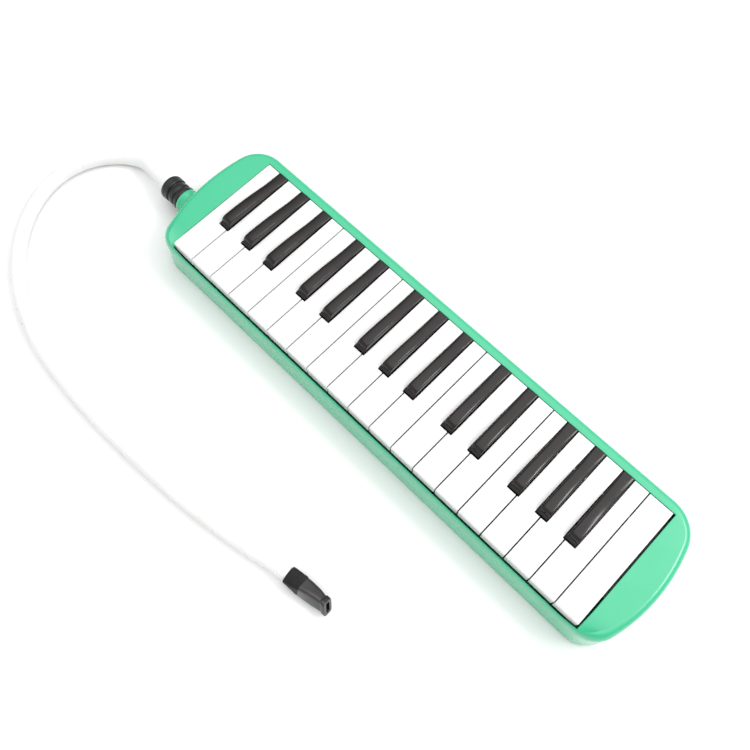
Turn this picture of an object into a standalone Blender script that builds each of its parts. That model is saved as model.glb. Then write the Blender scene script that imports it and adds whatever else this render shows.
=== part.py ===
"""Keyboard wind instrument with 32 hinged keys, a reed chamber and a mouthpiece hose.

The body lies flat on its underside. +X runs from the low notes to the high notes,
+Y points to the back and +Z points up. Lengths are in millimetres until a mesh is
made, and MM turns them into metres.
"""

import math

import bmesh
import bpy
from mathutils import Matrix, Vector

MM = 0.001
WELD = 1e-6

# Keyboard. Y is counted from the body centre, and KEY_FRONT is the front of the white keys.
KEY_PITCH = 20.0
WHITE_COUNT = 19
KEY_FRONT = -48.7
KEY_LENGTH = 93.5
FRONT_ROUND = 1.4
KEY_GAP = 0.85
LAST_KEY_TRIM = 0.9
WHITE_TOP = 38.0
SKIRT_BOTTOM = 28.0
PLATE_BOTTOM = 35.4
SKIRT_DEPTH = 33.0
SKIRT_WALL = 1.8
EDGE_CHAMFER = 0.4
BLACK_FRONT = 33.5
BLACK_WIDTH = 8.7
BLACK_DEPTH_BELOW = 4.5
SIDE_DRAFT = 0.06
EDGE_SOFTNESS = 1.0
NOTCH_GAP = 0.6
NOTCH_FRONT_GAP = 0.9

# Boundaries between white keys that carry a black key, and how far each black key
# stands to the right of its boundary.
BLACK_OFFSETS = {
    1: -3.5, 2: 0.0, 3: 3.3, 5: -2.1, 6: 1.9,
    8: -3.5, 9: 0.0, 10: 3.3, 12: -2.1, 13: 1.9,
    15: -3.5, 16: 0.0, 17: 3.3,
}

# Side view of a black key: distance from its front, and rise above the white keys.
# A low foot stands in front of a steep face, and the top falls away to the back.
BLACK_PROFILE = (
    (0.0, 0.8), (0.3, 1.4), (1.9, 2.0), (2.4, 3.9), (3.3, 5.2), (5.2, 6.2), (12.0, 6.2),
    (20.0, 5.7), (28.0, 4.9), (36.0, 3.8), (44.0, 2.6), (52.0, 1.8), (59.6, 1.2),
)

# Hinge line of all keys, and the lever behind it that lifts the pallet.
PIVOT_DEPTH = 74.0
PIVOT_Z = 31.0
ROD_RADIUS = 1.5
ROD_CLEARANCE = 0.06
ROD_HOLE_SPARE = 0.15
CLIP_BOTTOM = 27.4
LEVER_WIDTH = 5.0
LEVER_BOTTOM = 30.0
LEVER_TOP = 36.6
LEVER_STEP = 92.0
LEVER_BACK = 97.2
PALLET_FRONT = 85.5
PALLET_BACK = 96.6
PALLET_WIDTH = 8.4
PALLET_BOTTOM = 22.3
PALLET_TOP = 25.0

# Case. The outline is two straight sides, four corner arcs and two shallow end arcs.
# Each end is a wide arc between two rounded corners: half length, radius of the arc, place of its
# centre along Y, radius of the front corner and radius of the back corner.
RIGHT_END = (215.6, 137.0, -1.8, 20.0, 26.7)
LEFT_END = (215.6, 163.0, 6.6, 16.0, 24.3)
HALF_DEPTH = 54.7
CASE_WALL = 1.6
WALL_DRAFT = 1.0
PANEL_TOP = 37.6
RIM_TOP = 28.2
PANEL_ROUND = 5.0
PANEL_ROUND_TALL = 5.6
CORNER_EXTRA = 1.9
CORNER_REACH = 35.0
RIM_ROUND = 2.0
RIM_ROUND_TALL = 11.0
RISE_START = 176.0
RISE_END = 204.0
RISE_STEPS = 4
ROUND_START = 189.0
ROUND_END = 209.0
PANEL_SLOPE = 16.0
PARTING_Z = 5.0
PARTING_GAP = 0.3
WALL_BREAK = 12.0
FLOOR_TOP = 2.0
RAIL_HALF_X = 186.0
STOP_FRONT = 5.2
STOP_BACK = 8.2
STOP_TOP = 21.2
OPENING_HALF_X = 190.3
OPENING_FRONT = -2.6
OPENING_BACK = 94.1
CORNER_STEPS = 7
END_STEPS = 8

# Reed chamber under the back of the keys.
CHAMBER_HALF_X = 192.0
CHAMBER_FRONT = 26.0
CHAMBER_BACK = 98.0
CHAMBER_BOTTOM = 8.0
CHAMBER_TOP = 22.0
CHAMBER_WALL = 2.0
LUG_HALF = 4.2
LUG_BOTTOM = 8.2
LUG_TOP = 14.0
MIDDLE_RAIL_FRONT = 38.0
MIDDLE_RAIL_BACK = 43.0
MIDDLE_RAIL_TOP = 25.2
FELT_THICKNESS = 1.7
RIB_FRONT = 71.4
RIB_BACK = 76.6
RIB_TOP = 34.0
RIB_WIDTH = 1.2
HOLE_FRONT = 87.5
HOLE_BACK = 94.5
HOLE_WIDTH = 4.6
GASKET_BOTTOM = 7.1
GASKET_TOP = 7.7
COVER_BOTTOM = 5.0
COVER_TOP = 6.8
REED_PLATE_TOP = 19.7
REED_PLATE_BOTTOM = 18.5
REED_PLATE_FRONT = 50.0
LONGEST_REED = 30.0
REED_STEP = 0.5

# Blow socket, hose connector and hose, all on one line at the left end.
NECK_DEPTH = 35.0
NECK_Z = 14.6
NECK_HOLE = 7.8
SPIGOT_HOLE = 5.4
BORE_RADIUS = 3.6
HOSE_RADIUS = 5.75
HOSE_CUFF = (1.36, 1.15, 1.02)
HOSE_POINTS = 64
TURN_STEPS = 20

# Screws and the moisture drain.
SCREW_HEAD_RADIUS = 2.7
SCREW_HEAD_HEIGHT = 1.2
SCREW_SHANK_RADIUS = 1.2
CASE_SCREW_TIP = 13.0
LUG_SCREW_TIP = 11.0
BOSS_RADIUS = 3.4
FRONT_POST_TOP = 21.0
PILOT_RADIUS = 1.35
PILOT_SPARE = 1.5
CASE_SCREW_SPOTS = (
    (-199.0, -31.0), (199.0, -31.0), (-199.0, 33.0), (199.0, 33.0), (-70.0, -49.5), (70.0, -49.5),
)
LUG_SCREW_SPOTS = ((-195.4, 12.0), (195.4, 12.0), (-100.0, -26.1), (100.0, -26.1))
DRAIN_X = 176.0
DRAIN_Y = -10.0
DRAIN_HOLE = 4.3

# Route of the hose centre: out of the connector, down to the surface and round the front.
HOSE_ROUTE = (
    (-245.3, -13.7, 14.6), (-257.0, -13.4, 14.4), (-269.5, -12.3, 12.1), (-282.0, -12.2, 8.6),
    (-293.0, -16.2, 6.4), (-303.0, -23.5, 5.85), (-314.0, -37.5, 5.85), (-321.0, -56.5, 5.85),
    (-321.5, -76.0, 5.85), (-316.0, -96.0, 5.85), (-305.5, -114.0, 5.85), (-291.5, -130.0, 5.85),
    (-275.0, -143.0, 5.85), (-256.0, -153.7, 5.85), (-236.0, -161.7, 5.85), (-215.0, -167.3, 5.85),
    (-194.6, -170.5, 5.85), (-174.0, -172.1, 5.85), (-154.0, -172.9, 5.85), (-134.6, -172.9, 5.85),
    (-115.6, -172.5, 5.85), (-97.0, -171.7, 5.85), (-78.6, -170.5, 5.85), (-60.6, -169.1, 5.85),
    (-43.0, -167.1, 5.85), (-25.6, -164.5, 5.85), (-8.4, -161.6, 5.85), (9.0, -158.0, 5.95),
    (24.0, -154.6, 6.3), (36.6, -152.6, 6.55),
)
MOUTHPIECE_START = (37.3, -152.5, 6.6)
MOUTHPIECE_END = (69.8, -149.0, 9.0)
MOUTHPIECE_ROLL = 30.0
LIP_LEAN = 0.35


def clear_scene():
    for old in list(bpy.data.objects):
        bpy.data.objects.remove(old, do_unlink=True)


def look(name, colour, roughness, metallic=0.0):
    """Material with one colour, shared by every piece that asks for the same name."""
    found = bpy.data.materials.get(name)
    if found:
        return found
    material = bpy.data.materials.new(name)
    material.use_nodes = True
    shader = material.node_tree.nodes["Principled BSDF"]
    shader.inputs["Base Color"].default_value = (*colour, 1.0)
    shader.inputs["Roughness"].default_value = roughness
    shader.inputs["Metallic"].default_value = metallic
    material.diffuse_color = (*colour, 1.0)
    return material


def mint_plastic():
    return look("mint_plastic", (0.07, 0.56, 0.33), 0.3)


def white_plastic():
    return look("white_plastic", (0.9, 0.9, 0.88), 0.2)


def black_plastic():
    return look("black_plastic", (0.012, 0.011, 0.011), 0.2)


def connector_rubber():
    return look("connector_rubber", (0.008, 0.008, 0.008), 0.5)


def hose_vinyl():
    return look("hose_vinyl", (0.86, 0.86, 0.83), 0.35)


def chamber_plastic():
    return look("chamber_plastic", (0.6, 0.6, 0.58), 0.5)


def seal_rubber():
    return look("seal_rubber", (0.03, 0.03, 0.03), 0.8)


def felt():
    return look("felt", (0.25, 0.02, 0.02), 1.0)


def reed_metal():
    return look("reed_metal", (0.7, 0.68, 0.62), 0.35, 1.0)


def steel():
    return look("steel", (0.55, 0.55, 0.55), 0.3, 1.0)


def collection(name):
    found = bpy.data.collections.get(name)
    if found is None:
        found = bpy.data.collections.new(name)
        bpy.context.scene.collection.children.link(found)
    return found


def finished(shape):
    """Mesh from a bmesh, welded and with its faces turned outwards."""
    bmesh.ops.remove_doubles(shape, verts=shape.verts, dist=WELD)
    bmesh.ops.recalc_face_normals(shape, faces=shape.faces)
    mesh = bpy.data.meshes.new("solid")
    shape.to_mesh(mesh)
    shape.free()
    return mesh


def helper(mesh):
    """Short-lived object that carries a modifier or cuts another one."""
    item = bpy.data.objects.new("helper", mesh)
    collection("cutters").objects.link(item)
    return item


def applied(item):
    """Mesh of a helper with its modifiers applied. The helper goes."""
    graph = bpy.context.evaluated_depsgraph_get()
    mesh = bpy.data.meshes.new_from_object(item.evaluated_get(graph))
    bpy.data.objects.remove(item, do_unlink=True)
    return mesh


def loft(rings, closed=False):
    """Solid through rings of equal length, capped at its ends or closed back onto its first ring."""
    shape = bmesh.new()
    grid = [[shape.verts.new(Vector(point) * MM) for point in ring] for ring in rings]
    if closed:
        grid.append(grid[0])
    else:
        shape.faces.new(grid[0])
        shape.faces.new(grid[-1])
    for low, high in zip(grid, grid[1:]):
        for step in range(len(low)):
            shape.faces.new((low[step - 1], low[step], high[step], high[step - 1]))
    return finished(shape)


def raised(shape, corners, rise):
    """Face through the corners, raised by a vector into a solid."""
    face = shape.faces.new([shape.verts.new(Vector(corner) * MM) for corner in corners])
    added = bmesh.ops.extrude_face_region(shape, geom=[face])["geom"]
    moved = [item for item in added if isinstance(item, bmesh.types.BMVert)]
    bmesh.ops.translate(shape, verts=moved, vec=Vector(rise) * MM)


def prism(outline, low, high):
    """Outline in X and Y raised from low to high."""
    shape = bmesh.new()
    raised(shape, [(x, y, low) for x, y in outline], (0.0, 0.0, high - low))
    return finished(shape)


def side_prism(profile, left, right):
    """Profile in Y and Z drawn along X from left to right."""
    shape = bmesh.new()
    raised(shape, [(left, y, z) for y, z in profile], (right - left, 0.0, 0.0))
    return finished(shape)


def boxes(limits):
    """Several separate boxes in one mesh, each given as x, x, y, y, z, z."""
    shape = bmesh.new()
    for left, right, front, back, low, high in limits:
        centre = Vector((left + right, front + back, low + high)) / 2 * MM
        size = Vector((right - left, back - front, high - low)) * MM
        bmesh.ops.create_cube(shape, size=1.0, matrix=Matrix.LocRotScale(centre, None, size))
    return finished(shape)


def turned(profile, axis="Z", steps=TURN_STEPS):
    """Profile of (place on the axis, radius) pairs turned round the X or Z axis.

    It is an open line where it starts on the axis, and a closed loop where it doesn't."""
    count = len(profile)
    closed = profile[0][1] > 0
    across = [(radius, 0.0, place) if axis == "Z" else (place, 0.0, radius) for place, radius in profile]
    line = bpy.data.meshes.new("profile")
    links = [(index, (index + 1) % count) for index in range(count if closed else count - 1)]
    line.from_pydata([Vector(point) * MM for point in across], links, [])
    item = helper(line)
    turn = item.modifiers.new("turn", "SCREW")
    turn.axis = axis
    turn.steps = steps
    turn.render_steps = steps
    turn.use_merge_vertices = True
    turn.merge_threshold = WELD
    shape = bmesh.new()
    shape.from_mesh(applied(item))
    return finished(shape)


def bar(profile, axis="Z", steps=TURN_STEPS):
    """Turned solid whose profile is closed by flat ends on the axis."""
    return turned([(profile[0][0], 0.0), *profile, (profile[-1][0], 0.0)], axis, steps)


def plain_bar(low, high, radius, axis="Z", steps=TURN_STEPS):
    return bar([(low, radius), (high, radius)], axis, steps)


def placed(mesh, x, y, z):
    mesh.transform(Matrix.Translation(Vector((x, y, z)) * MM))
    return mesh


def node(name, mesh, material, origin=(0.0, 0.0, 0.0)):
    """Object whose mesh is given in body coordinates and whose own origin is moved to a point."""
    if any(origin):
        mesh.transform(Matrix.Translation(-Vector(origin) * MM))
    return instance(name, mesh, material, origin)


def instance(name, mesh, material, origin):
    """Object at a point, showing a mesh whose coordinates count from that point."""
    item = bpy.data.objects.new(name, mesh)
    collection("melodica").objects.link(item)
    item.location = Vector(origin) * MM
    if not mesh.materials:
        mesh.materials.append(material)
    return item


def combined(mesh, other, operation):
    """Result of an exact Boolean between two meshes."""
    first = helper(mesh)
    second = helper(other)
    change = first.modifiers.new("change", "BOOLEAN")
    change.operation = operation
    change.solver = "EXACT"
    change.object = second
    result = applied(first)
    bpy.data.objects.remove(second, do_unlink=True)
    tidy = bmesh.new()
    tidy.from_mesh(result)
    bmesh.ops.remove_doubles(tidy, verts=tidy.verts, dist=2 * WELD)
    bmesh.ops.dissolve_degenerate(tidy, edges=tidy.edges, dist=WELD)
    tidy.to_mesh(result)
    tidy.free()
    return result


def cut(mesh, other):
    return combined(mesh, other, "DIFFERENCE")


def fused(mesh, other):
    return combined(mesh, other, "UNION")


def smooth_by_angle(mesh, degrees=35.0):
    mesh.shade_smooth()
    mesh.set_sharp_from_angle(angle=math.radians(degrees))
    return mesh


def eased(value):
    value = min(max(value, 0.0), 1.0)
    return value * value * (3 - 2 * value)


def end_arcs(end):
    """Right-hand end of the case from its front line to its back line: centre, radius and angle."""
    half_length, radius, centre_y, front_radius, back_radius = end
    centre_x = half_length - radius
    front_rise = HALF_DEPTH - front_radius
    back_rise = HALF_DEPTH - back_radius
    front_meeting = math.asin((front_rise + centre_y) / (radius - front_radius))
    back_meeting = math.asin((back_rise - centre_y) / (radius - back_radius))
    front_x = centre_x + (radius - front_radius) * math.cos(front_meeting)
    back_x = centre_x + (radius - back_radius) * math.cos(back_meeting)
    arcs = []
    for step in range(CORNER_STEPS):
        turn = -math.pi / 2 + (math.pi / 2 - front_meeting) * step / CORNER_STEPS
        arcs.append((front_x, -front_rise, front_radius, turn))
    for step in range(END_STEPS + 1):
        turn = -front_meeting + (front_meeting + back_meeting) * step / END_STEPS
        arcs.append((centre_x, centre_y, radius, turn))
    for step in range(1, CORNER_STEPS + 1):
        turn = back_meeting + (math.pi / 2 - back_meeting) * step / CORNER_STEPS
        arcs.append((back_x, back_rise, back_radius, turn))
    return arcs


def case_outline(inset):
    """Case outline, moved inwards by inset, which is a number or a function of place and depth.

    Depth counts from the front of the white keys to the back."""
    sides = []
    for end in (RIGHT_END, LEFT_END):
        side = []
        for step in range(RISE_STEPS):
            place = RISE_START + (ROUND_START - RISE_START) * step / RISE_STEPS
            moved = inset(place, -HALF_DEPTH - KEY_FRONT) if callable(inset) else inset
            side.append((place, moved - HALF_DEPTH))
        for x, y, radius, turn in end_arcs(end):
            place = x + radius * math.cos(turn)
            depth = y + radius * math.sin(turn) - KEY_FRONT
            moved = radius - (inset(place, depth) if callable(inset) else inset)
            side.append((x + moved * math.cos(turn), y + moved * math.sin(turn)))
        sides.append(side)
    right, left = sides
    return right + [(-x, y) for x, y in reversed(left)]


def shared(x, depth, start, end):
    """0 along the low front rim of the case, 1 over its ends and its back."""
    beside = eased((abs(x) - start) / (end - start))
    behind = eased((depth - OPENING_FRONT) / PANEL_SLOPE)
    return 1 - (1 - beside) * (1 - behind)


def case_height(x, depth):
    return RIM_TOP + (PANEL_TOP - RIM_TOP) * shared(x, depth, RISE_START, RISE_END)


def edge_round(x, depth):
    """Width and height of the rounded edge, which is narrow and tall along the front rim."""
    share = shared(x, depth, ROUND_START, ROUND_END)
    corner = CORNER_EXTRA * (1 - eased((depth - OPENING_FRONT) / CORNER_REACH))
    width = RIM_ROUND + (PANEL_ROUND + corner - RIM_ROUND) * share
    height = RIM_ROUND_TALL + (PANEL_ROUND_TALL + corner - RIM_ROUND_TALL) * share
    return width, height


def edge_rings(base, wall, steps):
    """Rings over the rounded edge of the case, on a surface that lies wall below its outside."""
    rings = []
    for step in range(steps + 1):
        angle = math.pi / 2 * step / steps
        outward = 1 - math.cos(angle)
        below = 1 - math.sin(angle)
        outline = case_outline(
            lambda x, depth, outward=outward: WALL_DRAFT + wall + outward * (edge_round(x, depth)[0] - wall))
        ring = []
        for (x, y), (base_x, base_y) in zip(outline, base):
            height = edge_round(base_x, base_y - KEY_FRONT)[1] - wall
            ring.append((x, y, case_height(base_x, base_y - KEY_FRONT) - wall - below * height))
        rings.append(ring)
    return rings


def opening_ring(base, below):
    """Ring along the keyboard opening, below the top of the case."""
    ring = []
    for x, y in base:
        side = math.copysign(min(abs(x), OPENING_HALF_X), x)
        depth = min(max(y - KEY_FRONT, OPENING_FRONT), OPENING_BACK)
        ring.append((side, depth + KEY_FRONT, case_height(side, depth) - below))
    return ring


def case_shell():
    """Shell of the upper case: outside from the parting line to the opening, then inside and back."""
    base = case_outline(0.0)
    low = PARTING_Z + PARTING_GAP
    rings = [[(x, y, low) for x, y in base], [(x, y, WALL_BREAK) for x, y in case_outline(WALL_DRAFT / 2)]]
    rings += edge_rings(base, 0.0, 4)
    rings += [opening_ring(base, 0.0), opening_ring(base, CASE_WALL)]
    rings += reversed(edge_rings(base, CASE_WALL, 2))
    rings.append([(x, y, WALL_BREAK) for x, y in case_outline(WALL_DRAFT / 2 + CASE_WALL)])
    rings.append([(x, y, low) for x, y in case_outline(CASE_WALL)])
    return loft(rings, closed=True)


def upper_case():
    """Shell with a hole for the neck and a post for each case screw."""
    shell = case_shell()
    hole = plain_bar(-LEFT_END[0] - 12.0, -LEFT_END[0] + 12.0, NECK_HOLE, "X")
    shell = cut(shell, on_neck_line(hole))
    for x, y in CASE_SCREW_SPOTS:
        top = PANEL_TOP - CASE_WALL / 2 if abs(x) > OPENING_HALF_X else FRONT_POST_TOP
        post = plain_bar(FLOOR_TOP + PARTING_GAP, top, BOSS_RADIUS, steps=12)
        shell = fused(shell, placed(post, x, y, 0.0))
        pilot = plain_bar(0.0, CASE_SCREW_TIP + PILOT_SPARE, PILOT_RADIUS, steps=12)
        shell = cut(shell, placed(pilot, x, y, 0.0))
    node("upper_case", smooth_by_angle(shell), mint_plastic())


def lower_case():
    """Shallow tray that closes the underside, with the rail that stops the pressed keys."""
    levels = (
        (0.0, 2.4), (0.5, 0.9), (1.6, 0.1), (PARTING_Z, 0.0), (PARTING_Z, CASE_WALL), (FLOOR_TOP, CASE_WALL),
    )
    tray = loft([[(x, y, z) for x, y in case_outline(inset)] for z, inset in levels])
    front = KEY_FRONT + STOP_FRONT
    back = KEY_FRONT + STOP_BACK
    rail = (-RAIL_HALF_X, RAIL_HALF_X, front, back, FLOOR_TOP - 0.5, STOP_TOP)
    tray = fused(tray, boxes([rail]))
    for x, y in CASE_SCREW_SPOTS + LUG_SCREW_SPOTS:
        recess = plain_bar(-1.0, SCREW_HEAD_HEIGHT - 0.2, SCREW_HEAD_RADIUS + 0.3, steps=16)
        tray = cut(tray, placed(recess, x, y, 0.0))
        tray = cut(tray, placed(plain_bar(-1.0, 3.0, SCREW_SHANK_RADIUS + 0.3, steps=12), x, y, 0.0))
    tray = cut(tray, placed(plain_bar(-1.0, 3.0, DRAIN_HOLE, steps=16), DRAIN_X, DRAIN_Y, 0.0))
    node("lower_case", smooth_by_angle(tray), mint_plastic())


def black_centre(boundary):
    return boundary * KEY_PITCH + BLACK_OFFSETS[boundary]


def front_limits(index):
    """Left and right limits of a white key in front of the black keys, from the first key's left side."""
    trim = LAST_KEY_TRIM if index == WHITE_COUNT - 1 else 0.0
    return index * KEY_PITCH + KEY_GAP / 2, (index + 1) * KEY_PITCH - KEY_GAP / 2 - trim


def tail_limits(index):
    """Left and right limits of a white key behind the black key fronts."""
    left, right = front_limits(index)
    if index in BLACK_OFFSETS:
        left = black_centre(index) + BLACK_WIDTH / 2 + NOTCH_GAP
    if index + 1 in BLACK_OFFSETS:
        right = black_centre(index + 1) - BLACK_WIDTH / 2 - NOTCH_GAP
    return left, right


def lever_profile(front, bottom):
    """Side view of the web that ties a key to its pallet, with a slot that clips over the rod."""
    slot = ROD_RADIUS + ROD_CLEARANCE
    arc = [(PIVOT_DEPTH + slot * math.cos(turn), PIVOT_Z + slot * math.sin(turn))
           for turn in [math.pi * step / 8 for step in range(9)]]
    return [
        (front, bottom), (front, LEVER_TOP), (LEVER_STEP, LEVER_TOP), (LEVER_STEP, 33.0),
        (LEVER_BACK, 33.0), (LEVER_BACK, PALLET_TOP - 1.0), (PALLET_FRONT + 2.0, PALLET_TOP - 1.0),
        (PALLET_FRONT - 6.0, CLIP_BOTTOM), (PIVOT_DEPTH + slot, CLIP_BOTTOM), *arc,
        (PIVOT_DEPTH - slot, CLIP_BOTTOM), (PIVOT_DEPTH - 9.0, bottom),
    ]


def from_pivot(mesh, centre):
    """Move a key mesh so that it counts from its own point on the hinge line."""
    return placed(mesh, -centre, -PIVOT_DEPTH, -PIVOT_Z)


def add_lever(mesh, centre, front):
    half = LEVER_WIDTH / 2
    mesh = fused(mesh, side_prism(lever_profile(front, LEVER_BOTTOM), centre - half, centre + half))
    half = PALLET_WIDTH / 2
    pallet = boxes([(centre - half, centre + half, PALLET_FRONT, PALLET_BACK, PALLET_BOTTOM, PALLET_TOP)])
    return fused(mesh, pallet)


def key_body(outline):
    """Solid key top with a rounded front edge and chamfered edges along the rest of its top."""
    mesh = prism(outline, SKIRT_BOTTOM, WHITE_TOP)
    shape = bmesh.new()
    shape.from_mesh(mesh)
    top = WHITE_TOP * MM - WELD
    front = -FRONT_ROUND * MM + WELD
    rim = [edge for edge in shape.edges if all(corner.co.z > top for corner in edge.verts)]
    lip = [edge for edge in rim if all(corner.co.y < front for corner in edge.verts)]
    bmesh.ops.bevel(shape, geom=lip, offset=FRONT_ROUND * MM, segments=3, profile=0.5, affect="EDGES")
    rim = [edge for edge in shape.edges if not edge.is_boundary
           and all(corner.co.z > top - FRONT_ROUND * MM for corner in edge.verts)
           and edge.calc_face_angle() > math.radians(80)]
    bmesh.ops.bevel(shape, geom=rim, offset=EDGE_CHAMFER * MM, segments=1, profile=0.5, affect="EDGES")
    return finished(shape)


def white_key_mesh(index):
    """White key counted from its slot centre and the hinge line."""
    left, right = front_limits(index)
    tail_left, tail_right = tail_limits(index)
    notch = BLACK_FRONT - NOTCH_FRONT_GAP
    outline = [(left, -FRONT_ROUND), (right, -FRONT_ROUND)]
    if tail_right < right - 0.1:
        outline += [(right, notch), (tail_right, notch)]
    outline += [(tail_right, KEY_LENGTH), (tail_left, KEY_LENGTH)]
    if tail_left > left + 0.1:
        outline += [(tail_left, notch), (left, notch)]
    body = key_body(outline)
    wall_back = SKIRT_DEPTH - 2 * SKIRT_WALL
    pocket = (left + SKIRT_WALL, right - SKIRT_WALL, SKIRT_WALL - FRONT_ROUND, wall_back,
              SKIRT_BOTTOM - 1.0, PLATE_BOTTOM)
    under_tail = (left - 1.0, right + 1.0, wall_back + SKIRT_WALL, KEY_LENGTH + 1.0,
                  SKIRT_BOTTOM - 1.0, PLATE_BOTTOM)
    body = cut(body, boxes([pocket, under_tail]))
    body = add_lever(body, (tail_left + tail_right) / 2, wall_back + SKIRT_WALL / 2)
    return smooth_by_angle(from_pivot(body, (index + 0.5) * KEY_PITCH), 50.0)


def black_key_mesh():
    """Black key counted from its own centre and the hinge line."""
    base = BLACK_WIDTH / 2
    rings = []
    for along, rise in BLACK_PROFILE:
        top = WHITE_TOP + rise
        side = base - SIDE_DRAFT * rise
        soft = min(EDGE_SOFTNESS, rise * 0.4)
        bottom = WHITE_TOP - BLACK_DEPTH_BELOW
        half = [(base, bottom), (base, WHITE_TOP), (side, top - soft), (side - soft, top)]
        ring = half + [(-x, z) for x, z in reversed(half)]
        rings.append([(x, BLACK_FRONT + along, z) for x, z in ring])
    body = loft(rings)
    hollow = (-2.9, 2.9, BLACK_FRONT + 12.0, BLACK_FRONT + 28.0, LEVER_BOTTOM, WHITE_TOP + 1.5)
    body = cut(body, boxes([hollow]))
    half = LEVER_WIDTH / 2
    foot = (-half, half, MIDDLE_RAIL_FRONT, MIDDLE_RAIL_BACK, LEVER_BOTTOM, WHITE_TOP - 3.5)
    body = fused(body, boxes([foot]))
    body = add_lever(body, 0.0, BLACK_FRONT + 27.0)
    return smooth_by_angle(from_pivot(body, 0.0), 40.0)


def keys():
    """One object per key, each with its own point on the hinge line. Equal keys share a mesh."""
    left_end = -WHITE_COUNT * KEY_PITCH / 2
    pivot_y = PIVOT_DEPTH + KEY_FRONT
    shapes = {}
    for index in range(WHITE_COUNT):
        kind = (BLACK_OFFSETS.get(index), BLACK_OFFSETS.get(index + 1))
        if kind not in shapes:
            shapes[kind] = white_key_mesh(index)
        centre = left_end + (index + 0.5) * KEY_PITCH
        instance(f"white_key_{index + 1:02d}", shapes[kind], white_plastic(), (centre, pivot_y, PIVOT_Z))
    shape = black_key_mesh()
    for number, boundary in enumerate(sorted(BLACK_OFFSETS), 1):
        centre = left_end + black_centre(boundary)
        instance(f"black_key_{number:02d}", shape, black_plastic(), (centre, pivot_y, PIVOT_Z))


def lever_centres():
    """Centres of all levers from left to right."""
    left_end = -WHITE_COUNT * KEY_PITCH / 2
    whites = [sum(tail_limits(index)) / 2 for index in range(WHITE_COUNT)]
    blacks = [black_centre(boundary) for boundary in BLACK_OFFSETS]
    return sorted(left_end + centre for centre in whites + blacks)


def reed_chamber():
    """Air box with a hole under each pallet and a comb of ribs that carries the rod."""
    front = CHAMBER_FRONT + KEY_FRONT
    back = CHAMBER_BACK + KEY_FRONT
    wall = CHAMBER_WALL
    body = boxes([(-CHAMBER_HALF_X, CHAMBER_HALF_X, front, back, CHAMBER_BOTTOM, CHAMBER_TOP)])
    body = cut(body, boxes([(-CHAMBER_HALF_X + wall, CHAMBER_HALF_X - wall, front + wall, back - wall,
                             CHAMBER_BOTTOM - 1.0, CHAMBER_TOP - wall)]))
    centres = lever_centres()
    middles = [(first + second) / 2 for first, second in zip(centres, centres[1:])]
    ribs = [centres[0] - 7.2, *middles, centres[-1] + 7.2]
    half = RIB_WIDTH / 2
    rib_front = RIB_FRONT + KEY_FRONT
    rib_back = RIB_BACK + KEY_FRONT
    low = CHAMBER_TOP - 0.5
    body = fused(body, boxes([(x - half, x + half, rib_front, rib_back, low, RIB_TOP) for x in ribs]))
    body = fused(body, boxes([(-RAIL_HALF_X, RAIL_HALF_X, MIDDLE_RAIL_FRONT + KEY_FRONT,
                               MIDDLE_RAIL_BACK + KEY_FRONT, CHAMBER_TOP - 0.5, MIDDLE_RAIL_TOP)]))
    lugs = []
    for x, y in LUG_SCREW_SPOTS:
        lugs.append((x - LUG_HALF, x + LUG_HALF, y - LUG_HALF, y + LUG_HALF, LUG_BOTTOM, LUG_TOP))
    body = fused(body, boxes(lugs))
    hole = HOLE_WIDTH / 2
    body = cut(body, boxes([(x - hole, x + hole, HOLE_FRONT + KEY_FRONT, HOLE_BACK + KEY_FRONT,
                             CHAMBER_TOP - wall - 1.0, CHAMBER_TOP + 1.0) for x in centres]))
    reach = CHAMBER_HALF_X + 5.0
    rod_hole = plain_bar(-reach, reach, ROD_RADIUS + ROD_HOLE_SPARE, "X", 8)
    body = cut(body, placed(rod_hole, 0.0, PIVOT_DEPTH + KEY_FRONT, PIVOT_Z))
    inlet = plain_bar(-CHAMBER_HALF_X - 5.0, -CHAMBER_HALF_X + 7.0, SPIGOT_HOLE, "X")
    body = cut(body, on_neck_line(inlet))
    for x, y in LUG_SCREW_SPOTS:
        pilot = plain_bar(0.0, LUG_SCREW_TIP + PILOT_SPARE, PILOT_RADIUS, steps=12)
        body = cut(body, placed(pilot, x, y, 0.0))
    node("reed_chamber", body, chamber_plastic())


def chamber_cover():
    """Plate that closes the air box from below, with the drain hole."""
    front = CHAMBER_FRONT + KEY_FRONT
    back = CHAMBER_BACK + KEY_FRONT
    plate = boxes([(-CHAMBER_HALF_X, CHAMBER_HALF_X, front, back, COVER_BOTTOM, COVER_TOP)])
    plate = cut(plate, placed(plain_bar(0.0, 10.0, 2.4, steps=16), DRAIN_X, DRAIN_Y, 0.0))
    node("chamber_cover", plate, chamber_plastic())


def chamber_gasket():
    front = CHAMBER_FRONT + KEY_FRONT
    back = CHAMBER_BACK + KEY_FRONT
    wall = CHAMBER_WALL
    frame = boxes([(-CHAMBER_HALF_X, CHAMBER_HALF_X, front, back, GASKET_BOTTOM, GASKET_TOP)])
    frame = cut(frame, boxes([(-CHAMBER_HALF_X + wall, CHAMBER_HALF_X - wall, front + wall, back - wall,
                               GASKET_BOTTOM - 1.0, GASKET_TOP + 1.0)]))
    node("chamber_gasket", frame, seal_rubber())


def reed_cut(x, length, tip):
    """U-shaped cut that leaves one vibrating tongue under a tone hole."""
    inner = 1.5
    outer = 1.9
    outline = [
        (x - outer, tip - length), (x - inner, tip - length), (x - inner, tip - 0.4), (x + inner, tip - 0.4),
        (x + inner, tip - length), (x + outer, tip - length), (x + outer, tip), (x - outer, tip),
    ]
    return prism(outline, REED_PLATE_BOTTOM - 1.0, REED_PLATE_TOP + 1.0)


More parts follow.
